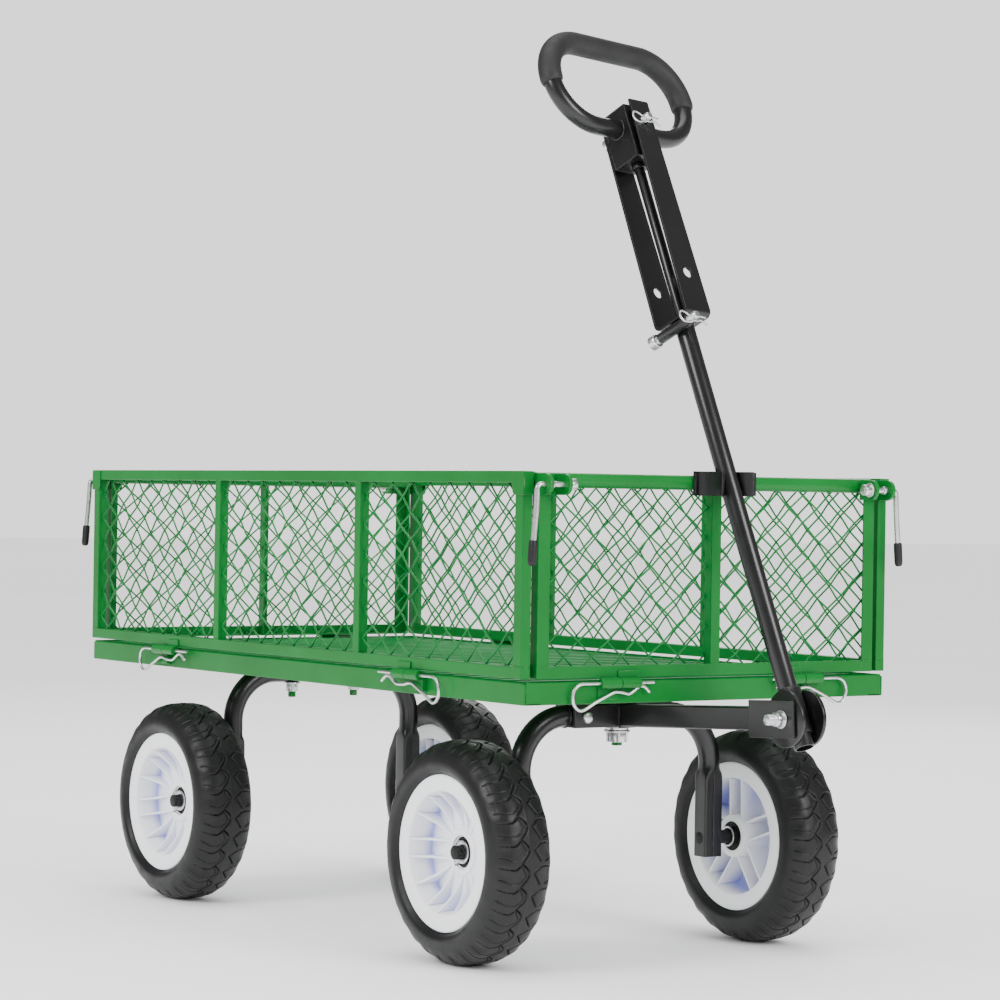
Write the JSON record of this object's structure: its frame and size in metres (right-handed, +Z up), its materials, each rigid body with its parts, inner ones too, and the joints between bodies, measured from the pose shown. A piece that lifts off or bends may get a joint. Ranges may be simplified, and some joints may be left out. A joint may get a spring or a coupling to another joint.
{
  "type": "garden cart",
  "caption": "Steel mesh garden cart: wire deck, folding mesh sides, steerable front axle, flat-free tyres and a tilting pull handle with tow yoke.",
  "frame": {"origin": "on the ground under the middle of the bed", "axes": "+X towards the pull handle at the front, +Y to the cart's left, +Z up"},
  "size_m": [1.2286, 0.5398, 1.0726],
  "materials": {
    "green_paint": "gloss",
    "black_paint": "satin",
    "black_steel": "matte",
    "zinc": "bright",
    "tyre_rubber": "matte",
    "tip_rubber": "matte",
    "grip_foam": "matte",
    "rim_plastic": "satin"
  },
  "bodies": {
    "cart": {"tray_rails": "green_paint", "tray_crossmembers": "green_paint", "deck_mesh": "green_paint", "tray_hinges": "green_paint", "hinge_hairpins": "zinc", "front_panel_frame": "green_paint", "front_panel_mesh": "green_paint", "front_latch_brackets": "green_paint", "pole_clip": "black_steel", "rear_axle_arch": "black_paint", "rear_spindles": "zinc", "rear_axle_bolts": "zinc", "kingpin": "zinc", "kingpin_spacer": "black_steel"},
    "rear_panel": {"rear_panel_frame": "green_paint", "rear_panel_mesh": "green_paint", "rear_panel_hinges": "green_paint", "rear_latch_brackets": "green_paint"},
    "left_panel": {"left_panel_frame": "green_paint", "left_panel_mesh": "green_paint", "left_panel_hinges": "green_paint"},
    "right_panel": {"right_panel_frame": "green_paint", "right_panel_mesh": "green_paint", "right_panel_hinges": "green_paint"},
    "front_left_latch": {"front_left_latch_lever": "zinc", "front_left_latch_tip": "tip_rubber"},
    "front_right_latch": {"front_right_latch_lever": "zinc", "front_right_latch_tip": "tip_rubber"},
    "rear_left_latch": {"rear_left_latch_lever": "zinc", "rear_left_latch_tip": "tip_rubber"},
    "rear_right_latch": {"rear_right_latch_lever": "zinc", "rear_right_latch_tip": "tip_rubber"},
    "steering": {"steer_bracket": "black_paint", "front_axle_arms": "black_paint", "front_spindles": "zinc", "steer_bolts": "zinc", "drawbar": "black_paint", "clevis_plates": "black_paint"},
    "handle": {"pole_tube": "black_paint", "pivot_socket": "black_paint", "tow_yoke": "black_paint", "hitch_pins": "zinc", "hitch_clips": "zinc", "slide_rod": "black_paint", "handle_block": "black_paint", "loop_tube": "black_paint", "foam_grip": "grip_foam"},
    "front_left_wheel": {"front_left_tyre": "tyre_rubber", "front_left_rim": "rim_plastic", "front_left_bearings": "black_steel"},
    "front_right_wheel": {"front_right_tyre": "tyre_rubber", "front_right_rim": "rim_plastic", "front_right_bearings": "black_steel"},
    "rear_left_wheel": {"rear_left_tyre": "tyre_rubber", "rear_left_rim": "rim_plastic", "rear_left_bearings": "black_steel"},
    "rear_right_wheel": {"rear_right_tyre": "tyre_rubber", "rear_right_rim": "rim_plastic", "rear_right_bearings": "black_steel"}
  },
  "joints": [
    {"name": "steer", "type": "hinge", "parent": "cart", "child": "steering", "pos_m": [0.333, 0, 0.277], "axis": [0, 0, 1], "range_deg": [-20, 20], "deforming": ["pole_clip"]},
    {"name": "handle_tilt", "type": "hinge", "parent": "steering", "child": "handle", "pos_m": [0.6591, 0, 0.2933], "axis": [0, 1, 0], "range_deg": [0, 130]},
    {"name": "rear_panel_fold", "type": "hinge", "parent": "cart", "child": "rear_panel", "pos_m": [-0.514, 0, 0.3265], "axis": [0, -1, 0], "range_deg": [0, 180]},
    {"name": "left_panel_fold", "type": "hinge", "parent": "cart", "child": "left_panel", "pos_m": [0, 0.264, 0.3265], "axis": [-1, 0, 0], "range_deg": [0, 180]},
    {"name": "right_panel_fold", "type": "hinge", "parent": "cart", "child": "right_panel", "pos_m": [0, -0.264, 0.3265], "axis": [1, 0, 0], "range_deg": [0, 180]},
    {"name": "front_left_spin", "type": "hinge", "parent": "steering", "child": "front_left_wheel", "pos_m": [0.333, 0.208, 0.127], "axis": [0, 1, 0], "continuous": true},
    {"name": "front_right_spin", "type": "hinge", "parent": "steering", "child": "front_right_wheel", "pos_m": [0.333, -0.208, 0.127], "axis": [0, 1, 0], "continuous": true},
    {"name": "rear_left_spin", "type": "hinge", "parent": "cart", "child": "rear_left_wheel", "pos_m": [-0.333, 0.208, 0.127], "axis": [0, 1, 0], "continuous": true},
    {"name": "rear_right_spin", "type": "hinge", "parent": "cart", "child": "rear_right_wheel", "pos_m": [-0.333, -0.208, 0.127], "axis": [0, 1, 0], "continuous": true},
    {"name": "front_left_lever_swing", "type": "hinge", "parent": "cart", "child": "front_left_latch", "pos_m": [0.527, 0.23, 0.543], "axis": [0, -1, 0], "range_deg": [0, 180]},
    {"name": "front_right_lever_swing", "type": "hinge", "parent": "cart", "child": "front_right_latch", "pos_m": [0.527, -0.23, 0.543], "axis": [0, -1, 0], "range_deg": [0, 180]},
    {"name": "rear_left_lever_swing", "type": "hinge", "parent": "rear_panel", "child": "rear_left_latch", "pos_m": [-0.527, 0.23, 0.543], "axis": [0, 1, 0], "range_deg": [0, 180]},
    {"name": "rear_right_lever_swing", "type": "hinge", "parent": "rear_panel", "child": "rear_right_latch", "pos_m": [-0.527, -0.23, 0.543], "axis": [0, 1, 0], "range_deg": [0, 180]}
  ]
}
